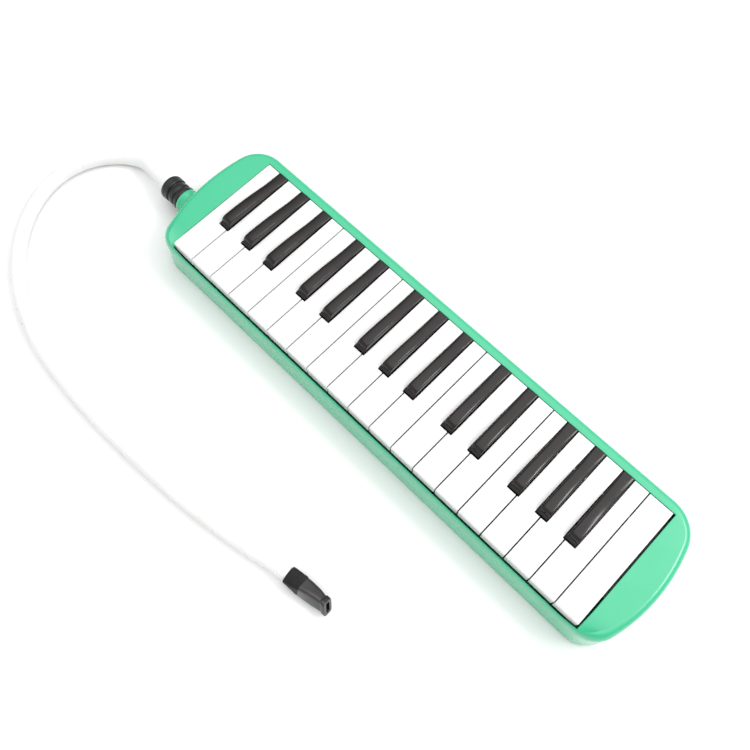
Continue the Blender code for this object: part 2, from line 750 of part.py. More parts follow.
def reed_plates():
    """Two plates under the tone holes. The tongues get shorter from the low notes to the high ones."""
    centres = list(enumerate(lever_centres()))
    half = len(centres) // 2
    split = (centres[half - 1][1] + centres[half][1]) / 2
    end = CHAMBER_HALF_X - CHAMBER_WALL - 0.6
    front = REED_PLATE_FRONT + KEY_FRONT
    back = CHAMBER_BACK + KEY_FRONT - CHAMBER_WALL - 0.4
    tip = HOLE_BACK + KEY_FRONT - 0.6
    plates = (
        ("reed_plate_bass", -end, split - 0.5, centres[:half]),
        ("reed_plate_treble", split + 0.5, end, centres[half:]),
    )
    for name, left, right, members in plates:
        plate = boxes([(left, right, front, back, REED_PLATE_BOTTOM, REED_PLATE_TOP)])
        for place, x in members:
            plate = cut(plate, reed_cut(x, LONGEST_REED - REED_STEP * place, tip))
        node(name, plate, reed_metal())


def key_rod():
    centres = lever_centres()
    overhang = 8.5
    rod = plain_bar(centres[0] - overhang, centres[-1] + overhang, ROD_RADIUS, "X", 12)
    y = PIVOT_DEPTH + KEY_FRONT
    node("key_rod", smooth_by_angle(placed(rod, 0.0, y, PIVOT_Z)), steel(), (0.0, y, PIVOT_Z))


def felts():
    """Strips that stop the pressed keys: one under the white key fronts, one under the levers."""
    end = RAIL_HALF_X - 1.0
    low = STOP_TOP + 0.3
    front = (-end, end, KEY_FRONT + STOP_FRONT, KEY_FRONT + STOP_BACK, low, low + 1.5)
    node("front_felt", boxes([front]), felt())
    low = MIDDLE_RAIL_TOP + 0.3
    front = MIDDLE_RAIL_FRONT + KEY_FRONT
    back = MIDDLE_RAIL_BACK + KEY_FRONT
    node("middle_felt", boxes([(-end, end, front, back, low, low + FELT_THICKNESS)]), felt())


def on_neck_line(mesh):
    return placed(mesh, 0.0, NECK_DEPTH + KEY_FRONT, NECK_Z)


def blow_socket():
    """Tube through the left end wall: collar outside, thin spigot into the air box."""
    profile = [
        (-226.5, 6.2), (-226.5, 9.6), (-226.0, 10.1), (-223.6, 10.1), (-223.1, 9.4), (-220.0, 9.4),
        (-215.6, 10.2), (-215.2, 10.2), (-215.2, 7.5), (-204.0, 7.5), (-202.0, 4.8), (-189.0, 4.8),
        (-189.0, BORE_RADIUS), (-211.5, BORE_RADIUS), (-211.5, 6.2),
    ]
    node("blow_socket", smooth_by_angle(on_neck_line(turned(profile, "X")), 30.0), mint_plastic())


def socket_seal():
    profile = [(-192.0, 4.85), (-192.0, 5.3), (-190.2, 5.3), (-190.2, 4.85)]
    node("socket_seal", on_neck_line(turned(profile, "X")), seal_rubber())


def hose_connector():
    """Ribbed plug that joins the hose to the socket."""
    profile = [
        (-245.0, BORE_RADIUS), (-245.0, 9.2), (-244.2, 9.9), (-242.2, 10.1), (-238.6, 9.9), (-237.8, 9.4),
        (-237.4, 8.6), (-236.7, 8.6), (-236.2, 9.5), (-232.0, 9.5), (-231.6, 8.7), (-230.9, 8.7),
        (-230.4, 9.7), (-227.4, 9.9), (-226.8, 9.4), (-226.8, 5.9), (-211.9, 5.7), (-211.9, BORE_RADIUS),
    ]
    node("hose_connector", smooth_by_angle(on_neck_line(turned(profile, "X")), 30.0), connector_rubber())


def smooth_route(route, count):
    """Evenly spaced points on a smooth curve through the route points."""
    points = [Vector(point) for point in route]
    ends = [2 * points[0] - points[1]] + points + [2 * points[-1] - points[-2]]
    dense = []
    for index in range(1, len(ends) - 2):
        before, start, end, after = ends[index - 1:index + 3]
        for step in range(12):
            t = step / 12
            dense.append(0.5 * (2 * start + (end - before) * t
                                + (2 * before - 5 * start + 4 * end - after) * t ** 2
                                + (3 * start - before - 3 * end + after) * t ** 3))
    dense.append(points[-1])
    lengths = [0.0]
    for first, second in zip(dense, dense[1:]):
        lengths.append(lengths[-1] + (second - first).length)
    spaced = []
    place = 0
    for number in range(count):
        target = lengths[-1] * number / (count - 1)
        while place < len(dense) - 2 and lengths[place + 1] < target:
            place += 1
        share = (target - lengths[place]) / (lengths[place + 1] - lengths[place])
        spaced.append(dense[place].lerp(dense[place + 1], share))
    return spaced


def tube(name, points, radius, rings, material, swell=()):
    """Curve with a round bevel and filled caps. The first points are wider by the swell factors."""
    curve = bpy.data.curves.new(name, "CURVE")
    curve.dimensions = "3D"
    curve.bevel_depth = radius * MM
    curve.bevel_resolution = rings
    curve.use_fill_caps = True
    spline = curve.splines.new("POLY")
    spline.points.add(len(points) - 1)
    for place, point in zip(spline.points, points):
        place.co = (*(Vector(point) * MM), 1.0)
    for place, factor in zip(spline.points, swell):
        place.radius = factor
    curve.materials.append(material)
    item = bpy.data.objects.new(name, curve)
    collection("melodica").objects.link(item)
    return item


def hose():
    tube("hose", smooth_route(HOSE_ROUTE, HOSE_POINTS), HOSE_RADIUS, 2, hose_vinyl(), HOSE_CUFF)


def rounded_section(half_wide, half_tall, power, steps=20):
    """Superellipse, from round at power 2 to nearly square at power 6."""
    section = []
    for step in range(steps):
        angle = 2 * math.pi * (step + 0.5) / steps
        across = math.copysign(abs(math.cos(angle)) ** (2 / power), math.cos(angle))
        upward = math.copysign(abs(math.sin(angle)) ** (2 / power), math.sin(angle))
        section.append((half_wide * across, half_tall * upward))
    return section


def mouthpiece_loft(sections):
    """Solid along the mouthpiece line. Each section is (distance, half width, half height, power, roll)."""
    start = Vector(MOUTHPIECE_START)
    along = (Vector(MOUTHPIECE_END) - start).normalized()
    side = Vector((0, 0, 1)).cross(along).normalized()
    up = along.cross(side)
    rings = []
    for distance, wide, tall, power, share in sections:
        turn = math.radians(MOUTHPIECE_ROLL * share)
        across = side * math.cos(turn) - up * math.sin(turn)
        upward = side * math.sin(turn) + up * math.cos(turn)
        slant = LIP_LEAN * eased((distance - 22.0) / 8.0)
        rings.append([start + along * (distance - slant * w) + across * v + upward * w
                      for v, w in rounded_section(wide, tall, power)])
    return loft(rings)


def mouthpiece():
    """Flattened tube: square collar at the hose, thin wide lip at the far end."""
    outside = [
        (0.0, 6.0, 6.0, 3.5, 0.0), (0.4, 6.3, 6.3, 3.5, 0.0), (6.0, 6.2, 6.3, 3.6, 0.2),
        (11.5, 5.9, 6.4, 4.0, 0.6), (20.0, 4.9, 6.3, 5.0, 0.9), (27.0, 3.9, 5.7, 5.0, 1.0),
        (29.8, 3.6, 5.4, 5.0, 1.0), (30.4, 4.1, 5.8, 5.0, 1.0), (32.9, 4.1, 5.8, 5.0, 1.0),
        (33.4, 3.7, 5.4, 5.0, 1.0),
    ]
    passage = [
        (-1.0, 3.2, 3.2, 2.0, 0.0), (8.0, 3.2, 3.2, 2.0, 0.3), (21.0, 2.1, 4.2, 3.0, 1.0),
        (28.0, 1.6, 4.0, 4.0, 1.0), (36.0, 1.6, 4.0, 4.0, 1.0),
    ]
    body = cut(mouthpiece_loft(outside), mouthpiece_loft(passage))
    node("mouthpiece", smooth_by_angle(body, 30.0), black_plastic(), MOUTHPIECE_START)


def screw(name, x, y, tip):
    """Self-tapping screw driven up from the underside, its head sunk in the tray."""
    low = 0.15
    neck = 0.75
    body = bar([(low, SCREW_HEAD_RADIUS), (neck, SCREW_HEAD_RADIUS), (neck, SCREW_SHANK_RADIUS),
                (tip - 1.0, SCREW_SHANK_RADIUS), (tip, 0.5)], steps=10)
    body = cut(body, boxes([(-2.0, 2.0, -0.35, 0.35, -1.0, low + 0.3)]))
    node(name, placed(body, x, y, 0.0), steel(), (x, y, 0.0))


def screws():
    for number, (x, y) in enumerate(CASE_SCREW_SPOTS, 1):
        screw(f"case_screw_{number}", x, y, CASE_SCREW_TIP)
    for number, (x, y) in enumerate(LUG_SCREW_SPOTS, 1):
        screw(f"chamber_screw_{number}", x, y, LUG_SCREW_TIP)


def drain():
    """Valve that lets moisture out of the air box when the button is pushed up."""
    spot = (DRAIN_X, DRAIN_Y, 0.0)
    profile = [(0.4, 3.6), (0.8, 4.0), (2.3, 4.0), (2.3, 5.4), (2.9, 5.4), (2.9, 1.4), (8.2, 1.4)]
    button = bar(profile, steps=16)
    node("drain_button", placed(button, *spot), black_plastic(), spot)
    seal = turned([(7.1, 1.5), (7.1, 4.2), (8.0, 4.2), (8.0, 1.5)], steps=16)
    node("drain_seal", placed(seal, *spot), seal_rubber(), spot)


def drain_spring():
    """Two turns of wire between the button's flange and the chamber cover."""
    turns = 2.0
    wire = 0.3
    radius = 3.2
    low = 3.3
    high = 4.6
    steps = 20
    points = []
    for step in range(steps + 1):
        angle = 2 * math.pi * turns * step / steps
        points.append((radius * math.cos(angle), radius * math.sin(angle), low + (high - low) * step / steps))
    spring = tube("drain_spring", points, wire, 1, steel())
    spring.location = (DRAIN_X * MM, DRAIN_Y * MM, 0.0)


clear_scene()
upper_case()
lower_case()
keys()
key_rod()
reed_chamber()
chamber_cover()
chamber_gasket()
reed_plates()
felts()
blow_socket()
socket_seal()
hose_connector()
hose()
mouthpiece()
screws()
drain()
drain_spring()
bpy.data.collections.remove(collection("cutters"))
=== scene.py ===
"""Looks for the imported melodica: fine pieces, materials, floor, light and camera."""

import math

import bmesh
import bpy
from mathutils import Matrix, Vector


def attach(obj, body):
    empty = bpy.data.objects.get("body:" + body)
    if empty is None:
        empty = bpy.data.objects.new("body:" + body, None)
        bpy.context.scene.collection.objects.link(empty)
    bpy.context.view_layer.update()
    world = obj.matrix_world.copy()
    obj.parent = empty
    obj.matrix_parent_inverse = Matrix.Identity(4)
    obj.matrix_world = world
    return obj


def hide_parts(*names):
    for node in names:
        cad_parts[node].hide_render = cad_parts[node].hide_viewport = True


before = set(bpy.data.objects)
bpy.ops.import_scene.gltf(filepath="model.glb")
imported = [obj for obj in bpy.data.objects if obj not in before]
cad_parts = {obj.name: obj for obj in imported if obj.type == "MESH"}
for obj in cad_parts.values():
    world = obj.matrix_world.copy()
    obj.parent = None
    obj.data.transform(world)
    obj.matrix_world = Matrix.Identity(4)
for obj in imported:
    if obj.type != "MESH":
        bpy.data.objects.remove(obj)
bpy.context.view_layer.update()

MM = 0.001
WELD = 1e-6

# Keyboard. Lengths are millimetres, and depth counts from the front of the white keys.
KEY_PITCH = 20.0
WHITE_COUNT = 19
KEY_FRONT = -48.7
KEY_LENGTH = 93.5
FRONT_ROUND = 1.4
KEY_GAP = 0.85
LAST_KEY_TRIM = 0.9
WHITE_TOP = 38.0
SKIRT_BOTTOM = 28.0
PLATE_BOTTOM = 35.4
SKIRT_DEPTH = 33.0
SKIRT_WALL = 1.8
EDGE_ROUND = 0.4
BLACK_FRONT = 33.5
BLACK_WIDTH = 8.7
BLACK_BOTTOM = 33.5
SIDE_DRAFT = 0.05
NOTCH_GAP = 0.6
NOTCH_FRONT_GAP = 0.9
BLACK_OFFSETS = {
    1: -3.5, 2: 0.0, 3: 3.3, 5: -2.1, 6: 1.9,
    8: -3.5, 9: 0.0, 10: 3.3, 12: -2.1, 13: 1.9,
    15: -3.5, 16: 0.0, 17: 3.3,
}

# Side view of a black key: distance from its front, and rise above the white keys.
BLACK_FOOT = ((0.0, 0.7), (0.12, 1.1), (0.4, 1.45), (1.0, 1.72), (1.75, 1.95), (1.95, 2.2))
BLACK_BACK = (
    (2.15, 3.0), (2.5, 4.1), (3.3, 5.2), (4.9, 6.05), (7.5, 6.2), (12.0, 6.15), (20.0, 5.7), (28.0, 4.9),
    (36.0, 3.8), (44.0, 2.6), (52.0, 1.7), (59.6, 1.15),
)

# Top of a black key seen from the front: distance from its middle, and tilt in degrees.
BLACK_TILTS = ((0.0, 0.0), (2.2, 5.0), (3.0, 11.0), (3.6, 20.0), (3.95, 38.0), (4.2, 62.0), (4.3, 84.0))

# Levers under the keys.
PIVOT_DEPTH = 74.0
PIVOT_Z = 31.0
ROD_SLOT = 1.56
CLIP_BOTTOM = 27.4
LEVER_WIDTH = 5.0
LEVER_BOTTOM = 30.0
LEVER_TOP = 36.6
LEVER_STEP = 92.0
LEVER_BACK = 97.2
PALLET_FRONT = 85.5
PALLET_BACK = 96.6
PALLET_WIDTH = 8.4
PALLET_BOTTOM = 22.3
PALLET_TOP = 25.0

# Case. Each end is a wide arc between two rounded corners: half length, radius of the arc, place of
# its centre along Y, radius of the front corner and radius of the back corner.
HALF_DEPTH = 54.7
RIGHT_END = (215.6, 137.0, -1.8, 20.0, 26.7)
LEFT_END = (215.6, 163.0, 6.6, 16.0, 24.3)
CASE_WALL = 1.6
WALL_DRAFT = 1.0
PANEL_TOP = 37.6
RIM_TOP = 28.2
PANEL_ROUND = 5.0
PANEL_ROUND_TALL = 5.6
CORNER_EXTRA = 1.9
CORNER_REACH = 35.0
RIM_ROUND = 2.0
RIM_ROUND_TALL = 11.0
RISE_START = 176.0
RISE_END = 204.0
RISE_STEPS = 8
ROUND_START = 189.0
ROUND_END = 209.0
PANEL_SLOPE = 16.0
PARTING_Z = 5.0
PARTING_GAP = 0.3
WALL_BREAK = 12.0
OPENING_HALF_X = 190.3
OPENING_FRONT = -2.6
OPENING_BACK = 94.1
LIP_ROUND = 0.35
LOW_BEVEL = 0.35
CORNER_STEPS = 26
END_STEPS = 34
ROUND_STEPS = 12

# Neck, plug, hose and mouthpiece.
NECK_Y = -13.7
NECK_Z = 14.6
BORE_RADIUS = 3.6
HOSE_DIAMETER = 11.5
HOSE_ROUTE = (
    (-245.3, -13.7, 14.6), (-257.0, -13.4, 14.4), (-269.5, -12.3, 12.1), (-282.0, -12.2, 8.6),
    (-293.0, -16.2, 6.4), (-303.0, -23.5, 5.85), (-314.0, -37.5, 5.85), (-321.0, -56.5, 5.85),
    (-321.5, -76.0, 5.85), (-316.0, -96.0, 5.85), (-305.5, -114.0, 5.85), (-291.5, -130.0, 5.85),
    (-275.0, -143.0, 5.85), (-256.0, -153.7, 5.85), (-236.0, -161.7, 5.85), (-215.0, -167.3, 5.85),
    (-194.6, -170.5, 5.85), (-174.0, -172.1, 5.85), (-154.0, -172.9, 5.85), (-134.6, -172.9, 5.85),
    (-115.6, -172.5, 5.85), (-97.0, -171.7, 5.85), (-78.6, -170.5, 5.85), (-60.6, -169.1, 5.85),
    (-43.0, -167.1, 5.85), (-25.6, -164.5, 5.85), (-8.4, -161.6, 5.85), (9.0, -158.0, 5.95),
    (24.0, -154.6, 6.3), (36.6, -152.6, 6.55),
)
CUFF_SWELL = 0.36
CUFF_LENGTH = 13.0
CREASE_PLACES = (2.2, 4.4, 6.6, 8.8)
CREASE_DEPTH = 0.035
MOUTHPIECE_START = (37.3, -152.5, 6.6)
MOUTHPIECE_END = (69.8, -149.0, 9.0)
MOUTHPIECE_ROLL = 30.0
LIP_LEAN = 0.35
COLLAR_LENGTH = 12.0

# Studio. Sky directions point from the instrument to the light, and angles are degrees.
FLOOR_TOP = -0.3
FLOOR_THICKNESS = 20.0
FLOOR_REACH = 4000.0
OVERHEAD = (0.22, 0.30, 0.92)
IN_FRONT = (-0.30, -0.85, 0.45)
LOBE_CORE = 15
SEEN_SKY = 0.95
STRIP_CENTRE = (0.775, 0.593, 1.22)
STRIP_AIM = (0.1, 0.0, 0.0)
STRIP_LINE = (-0.61, 0.315, 0.16)


# Mesh helpers.

def finished(shape):
    """Mesh from a bmesh, welded and with its faces turned outwards."""
    bmesh.ops.remove_doubles(shape, verts=shape.verts, dist=WELD)
    bmesh.ops.recalc_face_normals(shape, faces=shape.faces)
    mesh = bpy.data.meshes.new("solid")
    shape.to_mesh(mesh)
    shape.free()
    return mesh


def helper(mesh):
    """Short-lived object that carries a modifier or cuts another one."""
    item = bpy.data.objects.new("helper", mesh)
    bpy.context.scene.collection.objects.link(item)
    return item


def applied(item):
    """Mesh of a helper with its modifiers applied. The helper goes."""
    graph = bpy.context.evaluated_depsgraph_get()
    mesh = bpy.data.meshes.new_from_object(item.evaluated_get(graph))
    bpy.data.objects.remove(item, do_unlink=True)
    return mesh


def combined(mesh, other, operation):
    first = helper(mesh)
    second = helper(other)
    change = first.modifiers.new("change", "BOOLEAN")
    change.operation = operation
    change.solver = "EXACT"
    change.object = second
    result = applied(first)
    bpy.data.objects.remove(second, do_unlink=True)
    return result


def cut(mesh, other):
    return combined(mesh, other, "DIFFERENCE")


def fused(mesh, other):
    return combined(mesh, other, "UNION")


def bevelled(mesh, width, segments, degrees=40.0):
    """Mesh with a rounded strip along every edge sharper than the angle."""
    item = helper(mesh)
    edge = item.modifiers.new("edge", "BEVEL")
    edge.width = width * MM
    edge.segments = segments
    edge.limit_method = "ANGLE"
    edge.angle_limit = math.radians(degrees)
    return applied(item)


def shaded(mesh, degrees=35.0):
    """Smooth shading that keeps flat faces flat and edges sharper than the angle sharp."""
    mesh.shade_smooth()
    mesh.set_sharp_from_angle(angle=math.radians(degrees))
    item = helper(mesh)
    normals = item.modifiers.new("normals", "WEIGHTED_NORMAL")
    normals.keep_sharp = True
    return applied(item)


def skinned(rings, capped):
    """Surface through rings of equal length."""
    shape = bmesh.new()
    grid = [[shape.verts.new(Vector(point) * MM) for point in ring] for ring in rings]
    if capped:
        shape.faces.new(grid[0])
        shape.faces.new(grid[-1])
    for low, high in zip(grid, grid[1:]):
        for step in range(len(low)):
            shape.faces.new((low[step - 1], low[step], high[step], high[step - 1]))
    return finished(shape)


def raised(corners, rise):
    """Face through the corners, raised by a vector into a solid."""
    shape = bmesh.new()
    face = shape.faces.new([shape.verts.new(Vector(corner) * MM) for corner in corners])
    added = bmesh.ops.extrude_face_region(shape, geom=[face])["geom"]
    moved = [item for item in added if isinstance(item, bmesh.types.BMVert)]
    bmesh.ops.translate(shape, verts=moved, vec=Vector(rise) * MM)
    return finished(shape)


def boxes(limits):
    """Several separate boxes in one mesh, each given as x, x, y, y, z, z."""
    shape = bmesh.new()
    for left, right, front, back, low, high in limits:
        centre = Vector((left + right, front + back, low + high)) / 2 * MM
        size = Vector((right - left, back - front, high - low)) * MM
        bmesh.ops.create_cube(shape, size=1.0, matrix=Matrix.LocRotScale(centre, None, size))
    return finished(shape)


def softened(profile, rounds):
    """Closed profile with its corners cut again and again, which rounds them."""
    for _ in range(rounds):
        cuts = []
        for index, point in enumerate(profile):
            after = profile[(index + 1) % len(profile)]
            reach = min(0.25, 0.5 / max(math.dist(point, after), 1e-6))
            cuts.append(tuple(p + (q - p) * reach for p, q in zip(point, after)))
            cuts.append(tuple(q + (p - q) * reach for p, q in zip(point, after)))
        profile = cuts
    return profile


def turned_on_neck(profile, steps=96):
    """Closed profile of (place along X, radius) pairs turned round the line of the neck."""
    rings = []
    for place, radius in profile:
        rings.append([(place, NECK_Y + radius * math.cos(turn), NECK_Z + radius * math.sin(turn))
                      for turn in [2 * math.pi * step / steps for step in range(steps)]])
    rings.append(rings[0])
    return skinned(rings, capped=False)


def piece(name, mesh, materials, body, slot, *nodes):
    """New piece that rides on a body and stands for CAD nodes."""
    item = bpy.data.objects.new(name, mesh)
    bpy.context.scene.collection.objects.link(item)
    mesh.materials.clear()
    for material in materials:
        mesh.materials.append(material)
    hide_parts(*nodes)
    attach(item, body)
    return item


def eased(value):
    value = min(max(value, 0.0), 1.0)
    return value * value * (3 - 2 * value)


# Materials.

class Surface:
    """Principled material whose colour, roughness and bump come from noise in object space."""

    def __init__(self, name):
        self.material = bpy.data.materials.new(name)
        self.material.use_nodes = True
        self.tree = self.material.node_tree
        self.shader = self.tree.nodes["Principled BSDF"]
        self.place = self.add("ShaderNodeTexCoord").outputs["Object"]

    def add(self, kind, **values):
        made = self.tree.nodes.new(kind)
        for key, value in values.items():
            setattr(made, key, value)
        return made

    def link(self, source, target):
        self.tree.links.new(source, target)

    def fixed(self, **values):
        """Values that are the same all over, set on the shader's own sockets."""
        for key, value in values.items():
            self.shader.inputs[key.replace("_", " ")].default_value = value

    def noise(self, size, detail=2.0, stretch=(1.0, 1.0, 1.0)):
        """Noise whose grains are about the given size in millimetres."""
        spread = self.add("ShaderNodeMapping")
        spread.inputs["Scale"].default_value = stretch
        self.link(self.place, spread.inputs["Vector"])
        made = self.add("ShaderNodeTexNoise")
        made.inputs["Scale"].default_value = 1.0 / (size * MM)
        made.inputs["Detail"].default_value = detail
        self.link(spread.outputs["Vector"], made.inputs["Vector"])
        return made.outputs["Fac"]

    def ranged(self, source, low, high):
        made = self.add("ShaderNodeMapRange")
        made.inputs["From Min"].default_value = 0.3
        made.inputs["From Max"].default_value = 0.7
        made.inputs["To Min"].default_value = low
        made.inputs["To Max"].default_value = high
        self.link(source, made.inputs["Value"])
        return made.outputs["Result"]

    def colour(self, first, second, size, detail=2.0):
        """Two close colours mixed in soft patches."""
        blend = self.add("ShaderNodeMix", data_type="RGBA")
        colours = [socket for socket in blend.inputs if socket.type == "RGBA"]
        colours[0].default_value = (*first, 1.0)
        colours[1].default_value = (*second, 1.0)
        self.link(self.ranged(self.noise(size, detail), 0.0, 1.0), blend.inputs["Factor"])
        result = [socket for socket in blend.outputs if socket.type == "RGBA"][0]
        self.link(result, self.shader.inputs["Base Color"])

    def roughness(self, low, high, size, detail=3.0, stretch=(1.0, 1.0, 1.0)):
        noise = self.noise(size, detail, stretch)
        self.link(self.ranged(noise, low, high), self.shader.inputs["Roughness"])

    def bump(self, size, height, detail=2.0, stretch=(1.0, 1.0, 1.0)):
        """Relief of the given height in millimetres."""
        relief = self.add("ShaderNodeBump")
        relief.inputs["Strength"].default_value = 1.0
        relief.inputs["Distance"].default_value = height * MM
        self.link(self.noise(size, detail, stretch), relief.inputs["Height"])
        self.link(relief.outputs["Normal"], self.shader.inputs["Normal"])


def mint_plastic():
    """Glossy moulded plastic with a faint orange peel."""
    surface = Surface("mint_plastic")
    surface.colour((0.040, 0.485, 0.250), (0.048, 0.510, 0.270), 55.0)
    surface.roughness(0.16, 0.24, 14.0)
    surface.bump(2.4, 0.006)
    surface.fixed(Coat_Weight=0.4, Coat_Roughness=0.2)
    return surface.material


def white_plastic():
    surface = Surface("white_plastic")
    surface.colour((0.775, 0.782, 0.782), (0.802, 0.803, 0.80), 40.0)
    surface.roughness(0.14, 0.22, 9.0)
    surface.bump(1.8, 0.004)
    surface.fixed(Coat_Weight=0.2, Coat_Roughness=0.05)
    return surface.material


def black_plastic():
    surface = Surface("black_plastic")
    surface.colour((0.006, 0.004, 0.004), (0.012, 0.008, 0.007), 8.0)
    surface.roughness(0.12, 0.22, 5.0)
    surface.bump(1.3, 0.006)
    surface.fixed(Specular_IOR_Level=0.4)
    return surface.material


def plug_rubber():
    """Satin black rubber with a fine grain."""
    surface = Surface("plug_rubber")
    surface.colour((0.006, 0.006, 0.006), (0.014, 0.013, 0.013), 3.0)
    surface.roughness(0.26, 0.42, 2.5)
    surface.bump(0.5, 0.012, 4.0)
    return surface.material


def blade_plastic():
    """Glossy black plastic of the mouthpiece."""
    surface = Surface("blade_plastic")
    surface.colour((0.012, 0.010, 0.010), (0.022, 0.018, 0.018), 4.0)
    surface.roughness(0.13, 0.26, 2.2)
    surface.bump(0.9, 0.010, 3.0)
    surface.fixed(Coat_Weight=0.4, Coat_Roughness=0.06)
    return surface.material


def collar_plastic():
    """Textured matt black where the mouthpiece is gripped."""
    surface = Surface("collar_plastic")
    surface.colour((0.004, 0.004, 0.004), (0.012, 0.011, 0.011), 1.4)
    surface.roughness(0.5, 0.68, 1.2)
    surface.bump(0.45, 0.03, 4.0)
    surface.fixed(Specular_IOR_Level=0.3)
    return surface.material


def hose_vinyl():
    """Off-white flexible plastic with a faint soft relief."""
    surface = Surface("hose_vinyl")
    surface.colour((0.80, 0.80, 0.792), (0.85, 0.85, 0.842), 26.0)
    surface.roughness(0.26, 0.38, 6.0)
    surface.bump(3.0, 0.012)
    surface.fixed(Subsurface_Weight=0.12, Subsurface_Scale=0.002)
    return surface.material


def chamber_plastic():
    surface = Surface("chamber_plastic")
    surface.colour((0.30, 0.30, 0.29), (0.36, 0.36, 0.35), 20.0)
    surface.roughness(0.42, 0.58, 6.0)
    surface.bump(0.8, 0.01)
    return surface.material


def seal_rubber():
    surface = Surface("seal_rubber")
    surface.colour((0.018, 0.018, 0.018), (0.035, 0.034, 0.033), 2.0)
    surface.roughness(0.7, 0.9, 1.5)
    surface.bump(0.3, 0.02, 4.0)
    return surface.material


def stop_felt():
    """Dark red felt with fibres."""
    surface = Surface("stop_felt")
    surface.colour((0.16, 0.010, 0.012), (0.30, 0.030, 0.030), 0.7, 5.0)
    surface.roughness(0.9, 1.0, 0.8)
    surface.bump(0.25, 0.18, 6.0, (0.4, 1.0, 1.0))
    surface.fixed(Sheen_Weight=0.5, Sheen_Roughness=0.5)
    return surface.material


def reed_metal():
    """Brushed brass."""
    surface = Surface("reed_metal")
    surface.colour((0.62, 0.48, 0.22), (0.74, 0.60, 0.32), 6.0)
    surface.roughness(0.24, 0.42, 1.2, 4.0, (0.08, 1.0, 1.0))
    surface.bump(0.3, 0.004, 3.0, (0.08, 1.0, 1.0))
    surface.fixed(Metallic=1.0)
    return surface.material


def plated_steel():
    surface = Surface("plated_steel")
    surface.colour((0.50, 0.50, 0.51), (0.62, 0.62, 0.62), 3.0)
    surface.roughness(0.22, 0.38, 0.9, 4.0)
    surface.bump(0.3, 0.004, 3.0)
    surface.fixed(Metallic=1.0)
    return surface.material


def dress_hidden_nodes(finishes):
    """Materials for the CAD nodes that stay."""
    for name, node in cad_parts.items():
        for start, material in finishes:
            if name.startswith(start):
                node.data.materials.clear()
                node.data.materials.append(material)


# Case.

def end_arcs(end):
    """Right-hand end of the case from its front line to its back line: centre, radius and angle."""
    half_length, radius, centre_y, front_radius, back_radius = end
    centre_x = half_length - radius
    front_rise = HALF_DEPTH - front_radius
    back_rise = HALF_DEPTH - back_radius
    front_meeting = math.asin((front_rise + centre_y) / (radius - front_radius))
    back_meeting = math.asin((back_rise - centre_y) / (radius - back_radius))
    front_x = centre_x + (radius - front_radius) * math.cos(front_meeting)
    back_x = centre_x + (radius - back_radius) * math.cos(back_meeting)
    arcs = []
    for step in range(CORNER_STEPS):
        turn = -math.pi / 2 + (math.pi / 2 - front_meeting) * step / CORNER_STEPS
        arcs.append((front_x, -front_rise, front_radius, turn))
    for step in range(END_STEPS + 1):
        turn = -front_meeting + (front_meeting + back_meeting) * step / END_STEPS
        arcs.append((centre_x, centre_y, radius, turn))
    for step in range(1, CORNER_STEPS + 1):
        turn = back_meeting + (math.pi / 2 - back_meeting) * step / CORNER_STEPS
        arcs.append((back_x, back_rise, back_radius, turn))
    return arcs


def case_outline(inset):
    """Case outline, moved inwards by inset, which is a number or a function of place and depth."""
    sides = []
    for end in (RIGHT_END, LEFT_END):
        side = []
        for step in range(RISE_STEPS):
            place = RISE_START + (ROUND_START - RISE_START) * step / RISE_STEPS
            moved = inset(place, -HALF_DEPTH - KEY_FRONT) if callable(inset) else inset
            side.append((place, moved - HALF_DEPTH))
        for x, y, radius, turn in end_arcs(end):
            place = x + radius * math.cos(turn)
            depth = y + radius * math.sin(turn) - KEY_FRONT
            moved = radius - (inset(place, depth) if callable(inset) else inset)
            side.append((x + moved * math.cos(turn), y + moved * math.sin(turn)))
        sides.append(side)
    right, left = sides
    return right + [(-x, y) for x, y in reversed(left)]


def shared(x, depth, start, end):
    """0 along the low front rim of the case, 1 over its ends and its back."""
    beside = eased((abs(x) - start) / (end - start))
    behind = eased((depth - OPENING_FRONT) / PANEL_SLOPE)
    return 1 - (1 - beside) * (1 - behind)


def case_height(x, depth):
    return RIM_TOP + (PANEL_TOP - RIM_TOP) * shared(x, depth, RISE_START, RISE_END)


def edge_round(x, depth):
    """Width and height of the rounded edge, which is narrow and tall along the front rim."""
    share = shared(x, depth, ROUND_START, ROUND_END)
    corner = CORNER_EXTRA * (1 - eased((depth - OPENING_FRONT) / CORNER_REACH))
    width = RIM_ROUND + (PANEL_ROUND + corner - RIM_ROUND) * share
    height = RIM_ROUND_TALL + (PANEL_ROUND_TALL + corner - RIM_ROUND_TALL) * share
    return width, height


def edge_rings(base, wall, steps):
    """Rings over the rounded edge of the case, on a surface that lies wall below its outside."""
    rings = []
    for step in range(steps + 1):
        angle = math.pi / 2 * step / steps
        outward = 1 - math.cos(angle)
        below = 1 - math.sin(angle)
        outline = case_outline(
            lambda x, depth, share=outward: WALL_DRAFT + wall + share * (edge_round(x, depth)[0] - wall))
        ring = []
        for (x, y), (base_x, base_y) in zip(outline, base):
            height = edge_round(base_x, base_y - KEY_FRONT)[1] - wall
            ring.append((x, y, case_height(base_x, base_y - KEY_FRONT) - wall - below * height))
        rings.append(ring)
    return rings


def opening_ring(base, outward, below):
    """Ring along the keyboard opening, outward from its edge and below the top."""
    ring = []
    for x, y in base:
        side = math.copysign(min(abs(x), OPENING_HALF_X + outward), x)
        depth = min(max(y - KEY_FRONT, OPENING_FRONT - outward), OPENING_BACK + outward)
        ring.append((side, depth + KEY_FRONT, case_height(side, depth) - below))
    return ring


